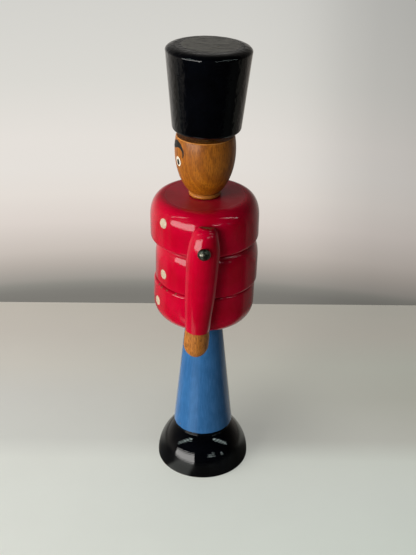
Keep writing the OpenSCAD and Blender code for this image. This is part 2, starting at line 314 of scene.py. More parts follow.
def meshPiece(name, body, verts, faces, values, materials, sharpDegrees=38):
    mesh = bpy.data.meshes.new(name)
    mesh.from_pydata(verts, [], faces)
    for key, data in values.items():
        mesh.attributes.new(key, "FLOAT", "POINT").data.foreach_set("value", data)
    work = bmesh.new()
    work.from_mesh(mesh)
    bmesh.ops.recalc_face_normals(work, faces=work.faces)
    work.to_mesh(mesh)
    work.free()
    for polygon in mesh.polygons:
        polygon.use_smooth = True
    mesh.set_sharp_from_angle(angle=math.radians(sharpDegrees))
    for material in materials:
        mesh.materials.append(material)
    piece = bpy.data.objects.new(name, mesh)
    bpy.context.scene.collection.objects.link(piece)
    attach(piece, body)
    return piece


def turned(name, body, outline, material, place=Matrix(), segments=176, unevenMm=0.05, spots=(),
           dullPatch=None):
    # dullPatch is where a dull top is dusty: the (x, y, radius) of a disc
    verts, faces, rows, wearsAndShades, dullsAndHighlights = [], [], [], [], []
    for r, z, wearAndShade, dullAndHighlight in outline:
        row = []
        for i in range(1 if r < 1e-6 else segments):
            a = 2 * math.pi * i / segments
            local = (r * math.cos(a), r * math.sin(a), z)
            off = uneven((local[0] + 31 * len(name), local[1], z), unevenMm)
            k = (r + off) / r if r > 1 else 1.0
            row.append(len(verts))
            verts.append(place @ (Vector((local[0] * k, local[1] * k, z)) * mm))
            wearsAndShades.append(knocks(local, spots, wearAndShade))
            if dullPatch and dullAndHighlight > 0.5:
                d = math.hypot(local[0] - dullPatch[0], local[1] - dullPatch[1]) - dullPatch[2]
                dullsAndHighlights.append(min(1.0, max(0.0, 0.5 - d / 1.6)))
            else:
                dullsAndHighlights.append(dullAndHighlight)
        rows.append(row)
    for a, b in zip(rows, rows[1:] + rows[:1]):
        if len(a) == 1 and len(b) == 1:
            continue
        for i in range(segments):
            j = (i + 1) % segments
            loop = [a[i % len(a)], a[j % len(a)], b[j % len(b)], b[i % len(b)]]
            faces.append(tuple(dict.fromkeys(loop)))
    return meshPiece(name, body, verts, faces, {"wearAndShade": wearsAndShades, "dullAndHighlight": dullsAndHighlights}, [material])


def boxMm(node):
    low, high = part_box(node)
    return low / mm, high / mm


# foot and trousers
foot = {"ballR": 32.2, "ballZ": 1.5, "edgeR": 1.2, "seatR": 20.2, "waistR": 19.3, "coveR": 0.4, "pegR": 6.0,
        "floor": 8.0}
footTop = boxMm("round_foot")[1].z
coveX = foot["waistR"] + foot["coveR"]
coveZ = foot["ballZ"] + math.sqrt((foot["ballR"] + foot["coveR"]) ** 2 - coveX ** 2)
coveTurn = math.degrees(math.atan2(coveZ - foot["ballZ"], coveX))
ballTurn = -math.degrees(math.asin((foot["ballZ"] - foot["edgeR"]) / (foot["ballR"] - foot["edgeR"])))
edgeX = (foot["ballR"] - foot["edgeR"]) * math.cos(math.radians(ballTurn))
footOutline = (
    [(0, 0, 0.3, 1)]
    + arc((edgeX, foot["edgeR"]), (foot["edgeR"],) * 2, -90, ballTurn, 8, 0.5)
    + arc((0, foot["ballZ"]), (foot["ballR"],) * 2, ballTurn, coveTurn, 44, 0.05)
    + arc((coveX, coveZ), (foot["coveR"],) * 2, coveTurn + 180, 180, 4, 0.1, 0.1)
    + [(foot["seatR"], footTop, 0.1, 0.1), (foot["pegR"], footTop, 0.2, 1),
       (foot["pegR"], foot["floor"], 0.9, 1), (0, foot["floor"], 0.9, 1)])
footSpots = [(18, -25, 3, 4, 0.55), (-20, -23, 4, 4.5, 0.6), (-6, 30, 3, 4, 0.6), (30, 8, 2, 3, 0.5)]
footPiece = turned("roundFoot", "base", fine(footOutline, 1.2), blackLacquer, spots=footSpots)
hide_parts("round_foot")

legs = {"lowR": 20.6, "topR": 11.6, "edgeR": 0.8, "pegR": 6.0}
legsLow, legsHigh = boxMm("trousers")
legsOutline = (
    [(legs["pegR"], legsLow.z, 0.4, 0)]
    + arc((legs["lowR"] - legs["edgeR"], legsLow.z + legs["edgeR"]), (legs["edgeR"],) * 2, -90, 0, 6, 0.38)
    + [(legs["topR"], legsHigh.z, 0.1, 0), (legs["pegR"], legsHigh.z, 0.4, 0)])
legsPiece = turned("taperedTrousers", "base", fine(legsOutline, 1.3), blueLacquer, unevenMm=0.07,
                   spots=[(12, -16, 33, 3.5, 0.5), (-19, 5, 32, 3, 0.52), (4, 18, 60, 2.5, 0.5)])
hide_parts("trousers")

peg = {"r": 6.0, "bevel": 1.5}
pegLow, pegHigh = boxMm("centre_peg")
pegOutline = [
    (0, pegLow.z, 0.2, 0), (peg["r"], pegLow.z, 0.2, 0), (peg["r"], pegHigh.z - peg["bevel"], 0.3, 0),
    (peg["r"] - peg["bevel"], pegHigh.z, 0.6, 0), (0, pegHigh.z, 0.2, 0)]
pegPiece = turned("centrePeg", "base", fine(pegOutline, 1.6), dowelBeech, segments=72, unevenMm=0.03)
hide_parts("centre_peg")
print("foot, trousers and peg made")


# coat rings
ring = {"h": 28.6, "boreR": 7.85}
ringRounds = {
    "lowerCoatRing": {
        "node": "lower_coat_ring", "body": "lower_ring", "r": 33.3, "low": (11.0, 12.8), "high": (2.0, 2.0),
        "slip": -0.4, "tip": 1.2,
        "spots": [(14, -29, 28.4, 4, 0.58), (22, -24, 28.4, 3.5, 0.58), (8, -32, 28.4, 3, 0.56),
                  (18, -27, 28.4, 3, 0.58), (27, -18, 28.4, 3, 0.56), (-25, -20, 28.6, 5, 0.58),
                  (-10, 31, 28.6, 6, 0.6), (6, -32.6, 18, 1.4, 0.5)]},
    "middleCoatRing": {
        "node": "middle_coat_ring", "body": "middle_ring", "r": 33.4, "low": (2.0, 2.0), "high": (4.6, 12.0),
        "slip": 1.2, "tip": 1.2, "covered": 0.5,
        "spots": [(10, -31, 0.5, 5, 0.58), (19, -26, 0.5, 4, 0.6), (-20, -25, 0.5, 5, 0.6),
                  (8, 31, 0.5, 4, 0.55)]},
    "upperCoatRing": {
        "node": "upper_coat_ring", "body": "upper_ring", "r": 34.9, "low": (2.7, 2.7), "high": (8.6, 14.0),
        "slip": 0.0, "tip": 0.0, "full": 2.25,
        "spots": [(-18, -29, 0.5, 3.5, 0.5), (12, 32, 0.8, 4, 0.55)]},
}


def ringOutline(r, low, high, full=2.0, covered=0.0):
    return ([(ring["boreR"], 0, 0.55, 0)]
            + [(r - low[0] - 1.5, 0, 0.3, 0)]
            + arc((r - low[0], low[1]), low, -90, 0, 14 if low[0] > 5 else 7, 0.25)
            + arc((r - high[0], ring["h"] - high[1]), high, 0, 52, 16, 0.18, full=full)
            + arc((r - high[0], ring["h"] - high[1]), high, 55, 90, 10, 0.18, covered, full)
            + [(r - high[0] - 1.2, ring["h"], 0.12, 1), (ring["boreR"] + 1.5, ring["h"], 0.12, 1),
               (ring["boreR"], ring["h"] - 0.4, 0.6, 1), (ring["boreR"], ring["h"] / 2, 1.0, 1)])


ringPlaces, ringOutlines = {}, {}
for name, spec in ringRounds.items():
    low, high = boxMm(spec["node"])
    tip = math.radians(spec["tip"])   # a tipped ring's lowest place is on the round of its rear edge
    w, h = spec["low"]
    z = (low.z + (spec["r"] - w) * math.sin(tip) - h * math.cos(tip)
         + math.hypot(w * math.sin(tip), h * math.cos(tip)))
    place = Matrix.Translation((0, spec["slip"] * mm, z * mm)) @ Matrix.Rotation(-tip, 4, "X")
    ringPlaces[name] = place
    ringOutlines[name] = ringOutline(
        spec["r"], spec["low"], spec["high"], spec.get("full", 2.0), spec.get("covered", 0.0))
    outline = fine(ringOutlines[name], 1.3)
    piece = turned(name, spec["body"], outline, redLacquer, place, 192, 0.09, spec["spots"])
    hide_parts(spec["node"])
print("coat rings made")


# head
head = {"r": 19.1, "wideZ": 30.6, "h": 40.2, "neckR": 10.0, "beadR": 10.4, "beadH": 3.2, "boreR": 6.5,
        "crownR": 18.2}
headZ = boxMm("head")[0].z
headPlace = Matrix.Translation((0, 0, headZ * mm))
eggLow = (head["wideZ"] - head["beadH"]) / math.sqrt(1 - (head["neckR"] / head["r"]) ** 2)
eggHigh = (head["h"] - head["wideZ"]) / math.sqrt(1 - (head["crownR"] / head["r"]) ** 2)
neckTurn, crownTurn = (math.degrees(math.acos(head[key] / head["r"])) for key in ("neckR", "crownR"))
half = head["beadH"] / 2
headOutline = (
    [(head["boreR"], 0, 0.6, 0)]
    # painted shade and highlight on the bead: its underside and the crease above it carry strong wear marks,
    # so the grime colour darkens them as shade, and its upper side carries a dull mark, so it is painted paler
    # as a highlight
    + arc((head["beadR"] - half, half), (half, half), -90, -35, 6, 1.6)
    + arc((head["beadR"] - half, half), (half, half), -25, 55, 8, 0.0, 0.7)
    + [(head["neckR"] - 0.25, head["beadH"] - 0.05, 0.9, 0)]
    + arc((0, head["wideZ"]), (head["r"], eggLow), 1.5 - neckTurn, 0, 34)
    + arc((0, head["wideZ"]), (head["r"], eggHigh), 0, crownTurn, 10)[:-1]
    # the crown's edge is painted pale as a highlight, and the flat top behind it is painted dark as the shadow
    # under the hat
    + [(head["crownR"] + 0.12, head["h"] - 0.75, 0, 0.3), (head["crownR"] - 0.05, head["h"] - 0.3, 0, 1),
       (head["crownR"] - 0.4, head["h"], 0.2, 0.6), (head["crownR"] - 0.9, head["h"], 0.6, 0),
       (head["crownR"] - 2.5, head["h"], 0.95, 0), (head["boreR"], head["h"], 0.9, 0)])
headPiece = turned("turnedHead", "head", fine(headOutline, 1.2), varnishedBeech, headPlace, 160, 0.05)
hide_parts("head")

# hat
hat = {"lowR": 21.5, "topR": 26.1, "h": 51.5, "lowRound": (2.6, 2.6), "topRound": (5.6, 2.8), "boreR": 7.25,
       "boreH": 26.0, "slip": 0.65, "lean": 1.2,
       "spots": [(3, 5, 51.5, 1.5, 0.8), (-12, 18, 50, 3, 0.5), (-19, -9, 1, 3, 0.5)],
       "dullPatch": (-2.4, 1.0, 18.4)}
lean = math.radians(hat["lean"])
hatZ = boxMm("hat")[0].z + (hat["lowR"] - hat["lowRound"][0]) * math.sin(lean)
hatPlace = Matrix.Translation((0, hat["slip"] * mm, hatZ * mm)) @ Matrix.Rotation(-lean, 4, "X")
(lowW, lowH), (topW, topH) = hat["lowRound"], hat["topRound"]
hatOutline = (
    [(hat["boreR"], 0, 0.7, 0), (hat["lowR"] - 5, 0, 0.2, 0)]
    + arc((hat["lowR"] - lowW, lowH), (lowW, lowH), -90, 0, 9, 0.22)
    + arc((hat["topR"] - topW, hat["h"] - topH), (topW, topH), 0, 90, 14, 0.16)
    + [(hat["topR"] - 5.1, hat["h"], 0.12, 1), (0, hat["h"], 0.12, 1), (0, hat["boreH"], 1, 1),
       (hat["boreR"], hat["boreH"], 1, 1)])
hatPiece = turned("turnedHat", "hat", fine(hatOutline, 1.3), hatLacquer, hatPlace, 176, 0.09, hat["spots"],
                  hat["dullPatch"])
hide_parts("hat")
print("head and hat made")


# arms: half of a turning, with the paint ending in a ridge at the wrist and the hand left bare
arm = {"r": 10.5, "topR": 5.0, "rise": 13.4, "wideDrop": 9.0, "wristR": 7.8, "drop": 59.0, "handSwell": 0.3,
       "handL": 20.4, "handWide": 10.6, "film": 0.12, "topEdge": 0.8, "sideRound": 0.5, "swing": 3.8,
       "shoulder": [(10.5, -9), (10.45, -4.5), (10.2, 0), (9.5, 4), (8.35, 8), (7.2, 11), (6.2, 12.4)]}
sleeveH = (arm["drop"] - arm["wideDrop"]) / math.sqrt(1 - (arm["wristR"] / arm["r"]) ** 2)


def smoothPath(path, steps=6):
    # a smooth line through the points, by Catmull and Rom's rule
    out = []
    for i in range(len(path) - 1):
        p = [path[max(i - 1, 0)], path[i], path[i + 1], path[min(i + 2, len(path) - 1)]]
        for n in range(steps):
            t = n / steps
            out.append(tuple(0.5 * (2 * p[1][k] + (p[2][k] - p[0][k]) * t
                                    + (2 * p[0][k] - 5 * p[1][k] + 4 * p[2][k] - p[3][k]) * t * t
                                    + (3 * p[1][k] - p[0][k] - 3 * p[2][k] + p[3][k]) * t ** 3)
                             for k in range(len(path[0]))))
    out.append(path[-1])
    return out


def armOutline():
    narrow = -math.degrees(math.acos(arm["wristR"] / arm["r"]))
    handR = arm["wristR"] + arm["handSwell"]
    fist = arm["handL"] - arm["handWide"]
    return ([(0.0, -arm["drop"] - arm["handL"], 0.1, 0)]
            + arc((0, -arm["drop"] - arm["handWide"]), (handR, fist), -84, 0, 18, 0.1)
            + [(handR, -arm["drop"] - 5, 0.05, 0),
               (arm["wristR"] - arm["film"] + 0.1, -arm["drop"] - 0.35, 0.5, 0),
               (arm["wristR"], -arm["drop"], 0.12, 0)]
            + arc((0, -arm["wideDrop"]), (arm["r"], sleeveH), narrow, 0, 30, 0.08)[1:-1]
            + [(r, z, 0.08, 0) for r, z in smoothPath(arm["shoulder"])]
            + arc((arm["topR"] - arm["topEdge"] + 0.3, arm["rise"] - arm["topEdge"]), (arm["topEdge"],) * 2,
                  20, 90, 5, 0.45)
            + [(0.0, arm["rise"], 0.75, 1)])


def makeArm(side, sideName, body, node, pinZ, planeX, spots):
    # each height has one closed section: half a circle, small rounds, and the flat that faces the coat
    outline = fine(armOutline(), 1.2, closed=False)
    arcSteps, flatSteps = 46, 14
    verts, faces, rows, wearsAndShades, dullsAndHighlights = [], [], [], [], []
    for r, z, wearAndShade, dullAndHighlight in outline:
        row = []
        aside = 0.7 * max(0.0, (z - 3) / 10) ** 2   # the top end is turned a little off the arm's axis
        atWrist = abs(z + arm["drop"]) < 1
        if r < 1e-6:
            section = [(0.0, 0.0)]
        else:
            e = min(arm["sideRound"], r * 0.3)
            turn = math.degrees(math.asin(e / r))
            section = [(r * math.cos(math.radians(a)), r * math.sin(math.radians(a)))
                       for a in [-90 + turn + (180 - 2 * turn) * i / arcSteps for i in range(arcSteps + 1)]]
            flat = r - e * 0.7
            section += [(e * 0.25, r - e * 0.12)]
            section += [(0.0, flat - 2 * flat * i / flatSteps) for i in range(flatSteps + 1)]
            section += [(e * 0.25, -r + e * 0.12)]
        for x, y in section:
            wavy = 0.35 * noise.noise(Vector((y * 0.4, 3.1 * side, 0.7))) if atWrist else 0.0
            off = uneven((x + 90, y, z), 0.07) / max(r, 1)
            row.append(len(verts))
            verts.append((side * x * (1 + off), y * (1 + off) + aside, z + wavy))
            edge = 0.2 if 0 < x < 1 else 0.0
            wearsAndShades.append(knocks((x, y, z), spots, wearAndShade + edge))
            dullsAndHighlights.append(max(dullAndHighlight, 0.5 if edge else 0.0))
        rows.append(row)
    for a, b in zip(rows, rows[1:]):
        count = max(len(a), len(b))
        for i in range(count):
            j = (i + 1) % count
            loop = [a[i % len(a)], a[j % len(a)], b[j % len(b)], b[i % len(b)]]
            faces.append(tuple(dict.fromkeys(loop)))
    place = Matrix.Translation((side * planeX * mm, 0, pinZ * mm))
    place = place @ Matrix.Rotation(-math.radians(arm["swing"]), 4, "X")
    wristZ = -arm["drop"] - 0.2
    isHand = [sum(verts[v][2] for v in f) / len(f) < wristZ for f in faces]
    points = [place @ (Vector(v) * mm) for v in verts]
    piece = meshPiece(sideName + "Arm", body, points, faces, {"wearAndShade": wearsAndShades, "dullAndHighlight": dullsAndHighlights},
                      [redLacquer, handBeech], 50)
    for polygon, hand in zip(piece.data.polygons, isHand):
        polygon.material_index = 1 if hand else 0
    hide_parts(node)
    return piece


# domed pins
pin = {"r": 1.8, "headR": 4.1, "headH": 3.3, "rim": 0.25}
domeR = (pin["headR"] ** 2 + pin["headH"] ** 2) / (2 * pin["headH"])
domeEdge = 93 - math.degrees(math.acos((domeR - pin["headH"]) / domeR))
armSpots = {
    "left": [(9.5, -3.2, -22, 1.6, 0.62), (8.5, -5.0, 14, 2.5, 0.5), (6, -6.5, -45, 1.5, 0.5),
             (5.8, 5, -66, 3.0, 0.9), (4.5, -6, -69, 3.2, 0.9), (3, -3, -76, 3.5, 0.7)],
    "right": [(8, 5, -18, 2, 0.55), (7, -5, -50, 1.5, 0.5)]}
for side, sideName, body in ((1, "left", "left_arm"), (-1, "right", "right_arm")):
    node = sideName + "_arm"
    pinLow, pinHigh = boxMm(node + "_pin")
    armLow, armHigh = boxMm(node)
    planeX = armLow.x if side > 0 else -armHigh.x
    pinZ = (pinLow.z + pinHigh.z) / 2
    makeArm(side, sideName, body, node, pinZ, planeX, armSpots[sideName])
    tail, tip = (pinLow.x, pinHigh.x) if side > 0 else (-pinHigh.x, -pinLow.x)
    headX = tip - pin["headH"]
    pinOutline = (
        [(0, tail, 0, 0), (pin["r"], tail, 0, 0), (pin["r"], headX, 0, 0),
         (pin["headR"] - pin["rim"], headX, 0, 0)]
        + arc((0, tip - domeR), (domeR, domeR), domeEdge, 90, 22)[:-1]
        + [(0, tip, 0, 0)])
    turnToX = Matrix.Translation((0, 0, pinZ * mm)) @ Matrix.Rotation(side * math.pi / 2, 4, "Y")
    pinPiece = turned(sideName + "ArmPin", "upper_ring", fine(pinOutline, 1.0), steel, turnToX, 72, 0.02)
    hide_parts(node + "_pin")
print("arms and pins made")


# painted marks: thin films of paint that follow the turned surface. A place on it is given by the
# turn from the front, in degrees towards the left side, and the height above the bottom of the piece.

def outerRadius(outline):
    # radius of the outer side at a height
    sides = [p for p in outline if p[0] > 9]

    def radius(z):
        best = 0.0
        for a, b in zip(sides, sides[1:]):
            if min(a[1], b[1]) <= z <= max(a[1], b[1]) and abs(b[1] - a[1]) > 1e-9:
                best = max(best, a[0] + (b[0] - a[0]) * (z - a[1]) / (b[1] - a[1]))
        return best
    return radius


def onSurface(radius, turn, z, lift):
    r = radius(z)
    slope = (radius(z + 0.2) - radius(z - 0.2)) / 0.4
    a = math.radians(turn)
    out = Vector((math.sin(a), -math.cos(a), -slope)).normalized()
    return Vector((r * math.sin(a), -r * math.cos(a), z)) + out * lift


def paintDot(name, body, radius, place, turn, z, size, film, material, leanDegrees=0.0, seed=0.0):
    # an oval dab, size is (width, height); shells are (part of its radius, part of the film's thickness)
    shells = ((0.0, 1.0), (0.35, 1.0), (0.6, 0.95), (0.8, 0.82), (0.92, 0.55), (1.0, -0.35))
    around = 40
    verts, faces = [], []
    r0 = radius(z)
    for t, lift in shells:
        for i in range(1 if t == 0 else around):
            a = 2 * math.pi * i / around
            ragged = 1 + 0.035 * noise.noise(Vector((math.cos(a) * 1.7, math.sin(a) * 1.7, seed)))
            u, v = size[0] / 2 * t * math.cos(a) * ragged, size[1] / 2 * t * math.sin(a) * ragged
            k = math.radians(leanDegrees)
            u, v = u * math.cos(k) - v * math.sin(k), u * math.sin(k) + v * math.cos(k)
            spot = onSurface(radius, turn + math.degrees(u / r0), z + v, film * lift)
            verts.append(place @ (spot * mm))
    for s in range(len(shells) - 1):
        for i in range(around):
            j = (i + 1) % around
            if s == 0:
                faces.append((0, 1 + i, 1 + j))
            else:
                a, b = 1 + (s - 1) * around, 1 + s * around
                faces.append((a + i, b + i, b + j, a + j))
    return meshPiece(name, body, verts, faces, {}, [material], 80)


def paintStroke(name, body, radius, place, path, film, material):
    # a brush stroke: path is a list of (turn, z, width)
    smooth = smoothPath(path)
    across = ((-1, -0.35), (-0.86, 0.55), (-0.55, 0.95), (0, 1), (0.55, 0.95), (0.86, 0.55), (1, -0.35))
    verts, faces = [], []
    r0 = radius(path[0][1])
    flat = [(math.radians(t) * r0, z, w) for t, z, w in smooth]
    stations = []
    for i, (u, z, w) in enumerate(flat):
        a, b = flat[max(i - 1, 0)], flat[min(i + 1, len(flat) - 1)]
        du, dz = b[0] - a[0], b[1] - a[1]
        length = math.hypot(du, dz) or 1.0
        stations.append((u, z, w, du / length, dz / length))
    first, last = stations[0], stations[-1]
    caps = [(math.sin(math.radians(k)), math.cos(math.radians(k))) for k in (75, 50, 25)]
    rows = []
    for (u, z, w, du, dz), way, ends in ((first, -1, caps), (last, 1, caps[::-1])):
        rows.append([(u + way * du * w / 2 * s, z + way * dz * w / 2 * s, w * c, du, dz) for s, c in ends])
    rows = rows[0] + stations + rows[1]
    for index, (u, z, w, du, dz) in enumerate(rows):
        low = 0.25 if index in (0, len(rows) - 1) else 1.0
        for side, lift in across:
            su, sz = u - dz * side * w / 2, z + du * side * w / 2
            spot = onSurface(radius, math.degrees(su / r0), sz, film * lift * low)
            verts.append(place @ (spot * mm))
    n = len(across)
    for i in range(len(rows) - 1):
        for j in range(n - 1):
            a = i * n + j
            faces.append((a, a + 1, a + n + 1, a + n))
    return meshPiece(name, body, verts, faces, {}, [material], 80)


buttons = {"size": (6.3, 6.5), "film": 0.28,
           "upperCoatRing": (42.5, 18.7), "middleCoatRing": (34.5, 9.3), "lowerCoatRing": (25.0, 15.9)}
for name, spec in ringRounds.items():
    turn, z = buttons[name]
    radius = outerRadius(ringOutlines[name])
    for side, sideName in ((1, "left"), (-1, "right")):
        paintDot(sideName + "Button" + name[0].upper() + name[1:], spec["body"], radius, ringPlaces[name],
                 side * turn, z + (0.0 if side > 0 else 0.3), buttons["size"], buttons["film"], creamPaint,
                 8.0 * side, side * len(name))

face = {
    "eye": (29.0, 25.6, 5.7, 6.5), "pupil": (29.6, 25.4, 3.3, 4.1), "film": 0.1,
    "brow": [(9.0, 34.3, 3.6), (14.5, 35.5, 4.9), (22, 36.4, 4.6), (30, 36.5, 3.6), (37.5, 35.6, 2.6),
             (43, 33.9, 1.8), (45.4, 32.0, 1.3), (44.4, 29.7, 0.9)],
    "mouth": [(-9.5, 13.4, 0.9), (-5, 12.5, 1.7), (0, 12.2, 1.9), (5, 12.5, 1.7), (9.5, 13.4, 0.9)],
}
headRadius = outerRadius(headOutline)
for side, sideName in ((1, "left"), (-1, "right")):
    for mark, paint, coats, seed in (("eye", whitePaint, 1, 0), ("pupil", inkPaint, 2, 3)):
        turn, z, w, h = face[mark]
        paintDot(sideName + mark.capitalize(), "head", headRadius, headPlace, side * turn, z, (w, h),
                 face["film"] * coats, paint, 0, seed + side)
    brow = [(side * turn, z, width) for turn, z, width in face["brow"]]
    paintStroke(sideName + "Brow", "head", headRadius, headPlace, brow, face["film"], inkPaint)
paintStroke("mouth", "head", headRadius, headPlace, face["mouth"], face["film"], lipPaint)
print("painted marks made")


# camera at the photograph's place, which was found from the outlines of the turned pieces
view = {"place": (553.2, 2.54, 447.85), "pitch": 28.745, "roll": 0.653, "focusPx": 950.0, "longSidePx": 555.0,
        "sensor": 36.0}
pitch, roll = math.radians(view["pitch"]), math.radians(view["roll"])
ahead = Vector((-math.cos(pitch), 0, -math.sin(pitch)))
upward = Vector((-math.sin(pitch), 0, math.cos(pitch)))
right = Vector((0, 1, 0))
imageRight = right * math.cos(roll) + upward * math.sin(roll)
imageUp = upward * math.cos(roll) - right * math.sin(roll)
cameraData = bpy.data.cameras.new("camera")
cameraData.sensor_width = view["sensor"]
cameraData.lens = view["focusPx"] / view["longSidePx"] * view["sensor"]
cameraData.clip_start, cameraData.clip_end = 0.01, 50.0
camera = bpy.data.objects.new("camera", cameraData)
camera.matrix_world = Matrix.Translation(Vector(view["place"]) * mm) @ Matrix(
    (imageRight, imageUp, -ahead)).transposed().to_4x4()
bpy.context.scene.collection.objects.link(camera)
bpy.context.scene.camera = camera


# stage: a pale board and surround, one tall soft light from the left with a softer one behind it, thin
# bars for the lines along the shoulders, and a graded shell that only the gloss sees. Lengths are metres.

stage = {
    "tall": {"right": (2.255, -0.82), "left": (1.205, -3.71), "low": -0.25, "high": 0.82, "radiance": 5.1},
    "soft": {"right": (2.0, -1.15), "left": (-0.3, -4.0), "low": -0.1, "high": 2.0, "radiance": 5.2},
    "ambient": 0.3, "surround": 1.25, "bars": 5.5, "dots": 26.0}
board = {
    "backEdge": ((-0.2026, -1.7), (-0.23, 3.0)), "frontEdge": ((-0.148, -1.7), (0.80, 3.0)), "reach": 6.0,
    "lift": 0.64, "underLift": 0.75, "sectorLift": 1.5, "shade": 0.13, "shadeAt": (-0.018, 0.03, 0),
    "tone": 0.65, "gloss": 0.45, "farGloss": 0.9, "ior": 1.2}


def stageMesh(name, verts, faces, material):
    mesh = bpy.data.meshes.new(name)
    mesh.from_pydata(verts, [], faces)
    mesh.materials.append(material)
    card = bpy.data.objects.new(name, mesh)
    bpy.context.scene.collection.objects.link(card)
    return card


def coloursAlong(add, value, low, high, stops):
    # a smooth scale of colours along a value; stops are (value, sRGB hex colour)
    scale = add("ValToRGB", (add("MapRange", (value, low, high)),))
    band = scale.node.color_ramp
    for i, (at, hexColour) in enumerate(stops):
        stop = band.elements[i] if i < 2 else band.elements.new(1.0)
        stop.position = (at - low) / (high - low)
        stop.color = linear(hexColour)
    return scale


def boardFinish():
    # smooth painted board, pale and satin. Painted light: its colour is lighter toward the light and darker on
    # the right side, with a brighter front part
    material, add = newMaterial("paintedBoardSatin")
    place = add("TexCoord", out="Object")
    parts = add("SeparateXYZ", (place,)).node.outputs
    path = add("LightPath").node.outputs
    lit = coloursAlong(add, parts["X"], -0.21, 0.11, (
        (-0.205, "#b9b3a9"), (-0.16, "#bcb6ad"), (-0.11, "#c1bdb4"), (-0.066, "#c2c1bb"), (-0.012, "#c4c5bf"),
        (0.012, "#d1d3cc"), (0.05, "#d3d6cf"), (0.105, "#d5d8d1")))
    shadedSide = coloursAlong(add, parts["X"], -0.21, 0.11, (
        (-0.205, "#a4a198"), (-0.16, "#a8a49b"), (-0.11, "#a9aaa0"), (-0.066, "#a8a89e"), (-0.012, "#b0b0a8"),
        (0.012, "#c0c4bc"), (0.05, "#c1c6bf"), (0.105, "#c3cac2")))
    across = add("MapRange", (parts["Y"], -0.16, 0.17))
    tone = add("Mix", {0: across, 6: lit, 7: shadedSide}, 2, data_type="RGBA")
    cloud = add("TexNoise", {"Vector": place, "Scale": perMm / 60, "Detail": 4, "Roughness": 0.6})
    cloud = add("MapRange", (cloud, 0.3, 0.7, 0, 0.03), **eased)
    tone = add("Mix", {0: cloud, 6: tone, 7: linear("#8f8f88")}, 2, data_type="RGBA")
    grain = add("TexNoise", {"Vector": place, "Scale": perMm / 3, "Detail": 3, "Roughness": 0.6})
    normal = add("Bump", {"Height": grain, "Distance": 0.02 * mm})
    rough = add("MapRange", (parts["X"], 0.13, 0.8, board["gloss"], board["farGloss"]), **eased)

    # the board glows a little, which lights the wood above it, and a painted shadow darkens a patch behind the
    # foot
    away = add("VectorMath", (place, board["shadeAt"]), "Value", operation="DISTANCE")
    shade = add("Math", (
        add("MapRange", (away, 0.03, 0.1, board["shade"], 0), **eased),
        add("MapRange", (parts["X"], -0.012, 0.012, 1, 0), **eased)), operation="MULTIPLY")
    shade = add("Math", (1, shade), operation="SUBTRACT")
    direct = add("Math", (path["Is Diffuse Ray"], board["underLift"]), operation="MULTIPLY")
    direct = add("Math", (path["Is Camera Ray"], direct), operation="MAXIMUM")
    direct = add("Math", (direct, shade), operation="MULTIPLY")

    # painted reflection: in the gloss it glows bright behind and beside the foot, and in one sector toward the
    # light, and stays dark in front and far off
    mirrored = add("Math", (
        add("MapRange", (parts["X"], -0.05, 0.02, 1, 0.2), **eased),
        add("MapRange", (away, 0.08, 0.2, 1, 0.58), **eased)), operation="MULTIPLY")
    bearing = add("Math", (parts["Y"], parts["X"]), operation="ARCTAN2")
    sector = add("Math", (
        add("MapRange", (bearing, -1, -0.85, 0, board["sectorLift"]), **eased),
        add("MapRange", (bearing, -0.4, -0.25, 1, 0), **eased)), operation="MULTIPLY")
    inGloss = add("Math", (add("MapRange", (mirrored, 0.4, 1), **eased), sector), operation="MAXIMUM")
    inGloss = add("Math", (path["Is Glossy Ray"], inGloss), operation="MULTIPLY")
    lift = add("Math", (direct, inGloss), operation="MAXIMUM")
    lift = add("Math", (lift, board["lift"]), operation="MULTIPLY")

    # painted shade: its own tone darkens with distance, and for the gloss away from the foot as well
    dim = add("Math", (mirrored, board["tone"]), operation="MULTIPLY")
    dim = add("Math", (board["tone"], dim), operation="SUBTRACT")
    dim = add("Math", (path["Is Glossy Ray"], dim), operation="MULTIPLY")
    dim = add("Math", (board["tone"], dim), operation="SUBTRACT")
    farther = add("MapRange", (parts["X"], 0.13, 1.5, 1, 0.1), **eased)
    dim = add("Math", (dim, farther), operation="MULTIPLY")
    grey = add("CombineColor", (dim, dim, dim))
    colour = add("Mix", {0: 1, 6: tone, 7: grey}, 2, data_type="RGBA", blend_type="MULTIPLY")
    add("OutputMaterial", (add("BsdfPrincipled", {
        "Base Color": colour, "Roughness": rough, "Normal": normal, "IOR": board["ior"],
        "Emission Color": tone, "Emission Strength": lift}),))
    return material


def glow(name, hexColour, strength):
    material, add = newMaterial(name)
    add("OutputMaterial", (add("Emission", (linear(hexColour), strength)),))
    return material


def surroundGlow():
    # what the gloss sees round about: pale behind, fading upwards and to the right, and dark in front
    material, add = newMaterial("surroundInGloss")
    aim = add("VectorMath", (add("TexCoord", out="Object"),), operation="NORMALIZE")
    parts = add("SeparateXYZ", (aim,)).node.outputs
    height = coloursAlong(add, parts["Z"], -1, 1, (
        (-1.0, "#636363"), (-0.48, "#7c7a77"), (-0.38, "#b8b4ae"), (-0.2, "#dcd7d0"), (0.0, "#ccc9c4"),
        (0.2, "#a5a29d"), (0.35, "#7c7a77"), (0.5, "#656360"), (0.62, "#555351"), (0.82, "#2b2a29"),
        (1.0, "#181817")))
    turn = add("Math", (parts["Y"], add("Math", (parts["X"], -1), operation="MULTIPLY")), operation="ARCTAN2")
    around = coloursAlong(add, turn, -math.pi, math.pi, (
        (-3.14, "#201f1e"), (-1.87, "#262524"), (-1.8, "#8c8a87"), (-1.4, "#9b9996"), (-1.1, "#c8c6c2"),
        (-0.7, "#ececec"), (-0.2, "#f0f0f0"), (0.05, "#e8e8e8"), (0.14, "#d6d5d3"), (0.21, "#cfcdca"),
        (0.44, "#c2bfbb"), (0.8, "#aaa7a3"), (1.13, "#7b7875"), (1.43, "#55524f"), (1.8, "#1c1b1a"),
        (3.14, "#1a1918")))
    colour = add("Mix", {0: 1, 6: height, 7: around}, 2, data_type="RGBA", blend_type="MULTIPLY")
    add("OutputMaterial", (add("Emission", (colour, stage["surround"])),))
    return material


